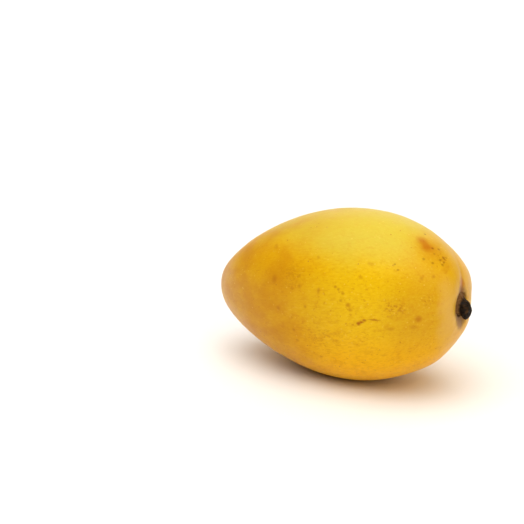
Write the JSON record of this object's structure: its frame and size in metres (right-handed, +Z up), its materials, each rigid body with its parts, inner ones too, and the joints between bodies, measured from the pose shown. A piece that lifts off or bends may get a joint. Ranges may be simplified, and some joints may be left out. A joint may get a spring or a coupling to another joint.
{
  "type": "ataulfo mango",
  "caption": "Whole ripe yellow mango lying on its edge, with the dry stub of its stem in the cavity at one end.",
  "frame": {"origin": "middle of the small flat spot on the underside that the fruit rests on", "axes": "+Z up; +X along the fruit, level, towards the stem; -Y towards the cheek that faces the viewer"},
  "size_m": [0.1208, 0.0616, 0.0735],
  "materials": {
    "skin": "waxy, satin, ripe yellow with brown specks",
    "stem": "dry, dark, rough"
  },
  "bodies": {
    "root": {"fruit": "skin", "stem": "stem"}
  },
  "joints": []
}
